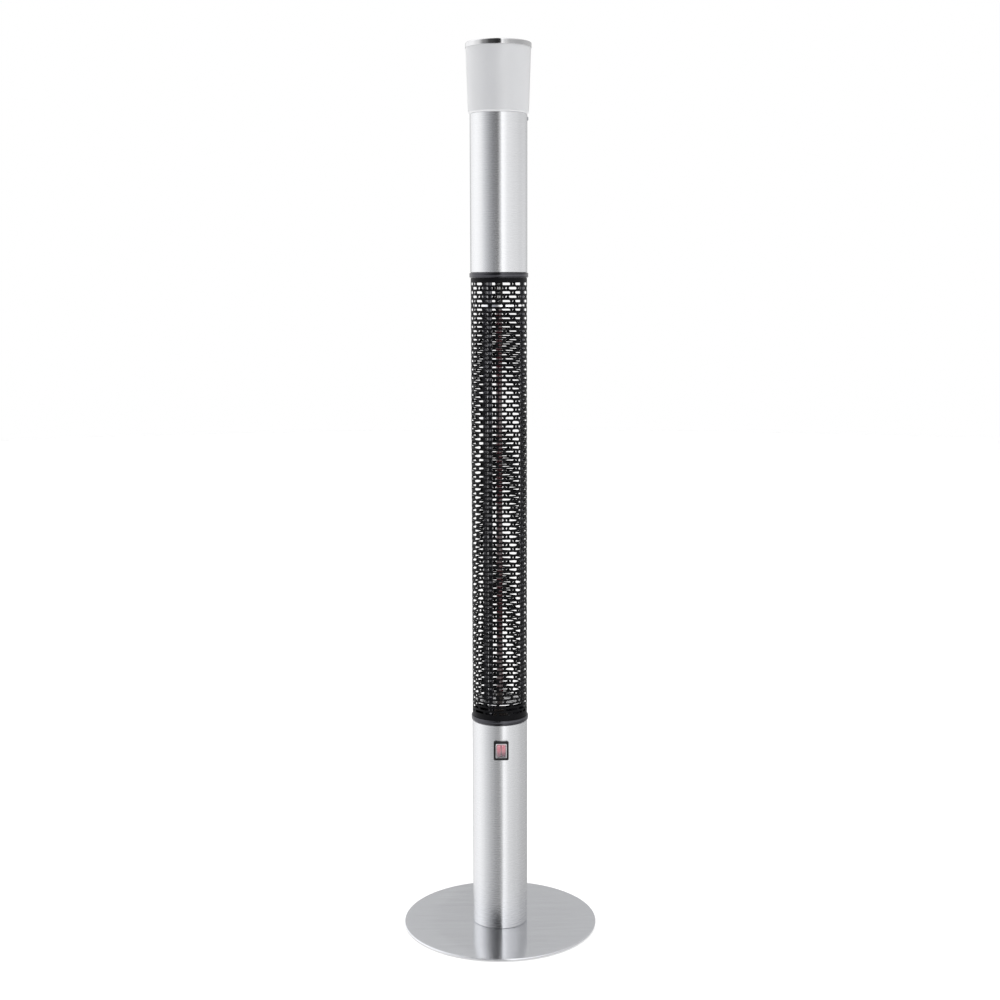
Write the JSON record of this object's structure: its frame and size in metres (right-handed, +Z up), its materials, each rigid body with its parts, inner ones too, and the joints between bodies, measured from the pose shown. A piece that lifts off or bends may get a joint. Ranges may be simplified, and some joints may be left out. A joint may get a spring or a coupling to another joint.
{
  "type": "infrared patio heater tower",
  "caption": "Free-standing infrared patio heater: round base, brushed tube with a rocker switch, perforated guard round a red lamp, upper tube, frosted light shade and cap.",
  "frame": {"origin": "on the floor, on the tower's axis, at the centre of the feet's plane", "axes": "+Z up along the tower; the switch faces -Y; the cable gland faces +Y"},
  "size_m": [0.336, 0.336, 1.506],
  "materials": {
    "rubber": "matte moulded rubber",
    "brushed_steel": "stainless steel with a vertical satin brush",
    "zinced_steel": "zinc-plated steel",
    "black_plastic": "satin black moulded plastic",
    "red_plastic": "red translucent rocker lens",
    "clear_plastic": "clear soft splash cover",
    "brass": "bare stamped brass",
    "white_plastic": "white moulded plastic",
    "grey_plastic": "grey moulded plastic",
    "grey_paint": "satin dark grey paint over a casting",
    "black_enamel": "heat-proof black enamel, semi-gloss",
    "slate_paint": "dark slate paint",
    "ceramic": "unglazed ceramic, opaque",
    "mirror_steel": "bright reflecting steel",
    "heated_steel": "heat-darkened steel",
    "ruby_quartz": "ruby quartz glass",
    "glowing_wire": "glowing heating wire",
    "cast_aluminium": "bare casting",
    "board_lacquer": "white lacquered circuit board",
    "frosted_plastic": "frosted translucent plastic",
    "polished_steel": "polished stainless steel",
    "glass_sleeve": "glass-fibre sleeve over wire"
  },
  "bodies": {
    "tower": {"floor_pad_1": "rubber", "floor_pad_2": "rubber", "floor_pad_3": "rubber", "floor_pad_4": "rubber", "floor_pad_5": "rubber", "base_plate": "brushed_steel", "lower_tube": "brushed_steel", "upper_tube": "brushed_steel", "base_screw_1": "zinced_steel", "base_screw_2": "zinced_steel", "base_screw_3": "zinced_steel", "base_flange": "zinced_steel", "rocker_pin": "zinced_steel", "chassis_bracket": "zinced_steel", "lower_rod_nut_1": "zinced_steel", "lower_rod_nut_2": "zinced_steel", "lower_rod_nut_3": "zinced_steel", "upper_rod_nut_1": "zinced_steel", "upper_rod_nut_2": "zinced_steel", "upper_rod_nut_3": "zinced_steel", "shade_post": "zinced_steel", "gland_body": "black_plastic", "gland_locknut": "black_plastic", "gland_dome_nut": "black_plastic", "switch_frame": "black_plastic", "splash_cover": "clear_plastic", "switch_terminal_1": "brass", "switch_terminal_2": "brass", "switch_terminal_3": "brass", "switch_terminal_4": "brass", "terminal_block": "white_plastic", "led_driver": "white_plastic", "tilt_switch": "grey_plastic", "lower_collar": "grey_paint", "upper_collar": "grey_paint", "guard": "black_enamel", "tie_rod_1": "slate_paint", "tie_rod_2": "slate_paint", "tie_rod_3": "slate_paint", "lower_lamp_holder": "ceramic", "lower_lamp_cap": "ceramic", "upper_lamp_cap": "ceramic", "lower_reflector": "mirror_steel", "upper_reflector": "heated_steel", "upper_lamp_bracket": "heated_steel", "head_screw_1": "heated_steel", "head_screw_2": "heated_steel", "lamp_tube": "ruby_quartz", "lamp_filament": "glowing_wire", "light_carrier": "cast_aluminium", "led_board": "board_lacquer", "shade": "frosted_plastic", "top_cap": "polished_steel", "lower_lamp_lead": "glass_sleeve", "upper_lamp_lead": "glass_sleeve", "light_lead": "glass_sleeve"},
    "heat_rocker": {"heat_rocker": "red_plastic"},
    "light_rocker": {"light_rocker": "red_plastic"}
  },
  "joints": [
    {"name": "heat_switch", "type": "hinge", "parent": "tower", "child": "heat_rocker", "pos_m": [-0.00415, -0.0454, 0.3263], "axis": [1, 0, 0], "range_deg": [0, 18]},
    {"name": "light_switch", "type": "hinge", "parent": "tower", "child": "light_rocker", "pos_m": [0.00415, -0.0454, 0.3263], "axis": [1, 0, 0], "range_deg": [0, 18]}
  ]
}
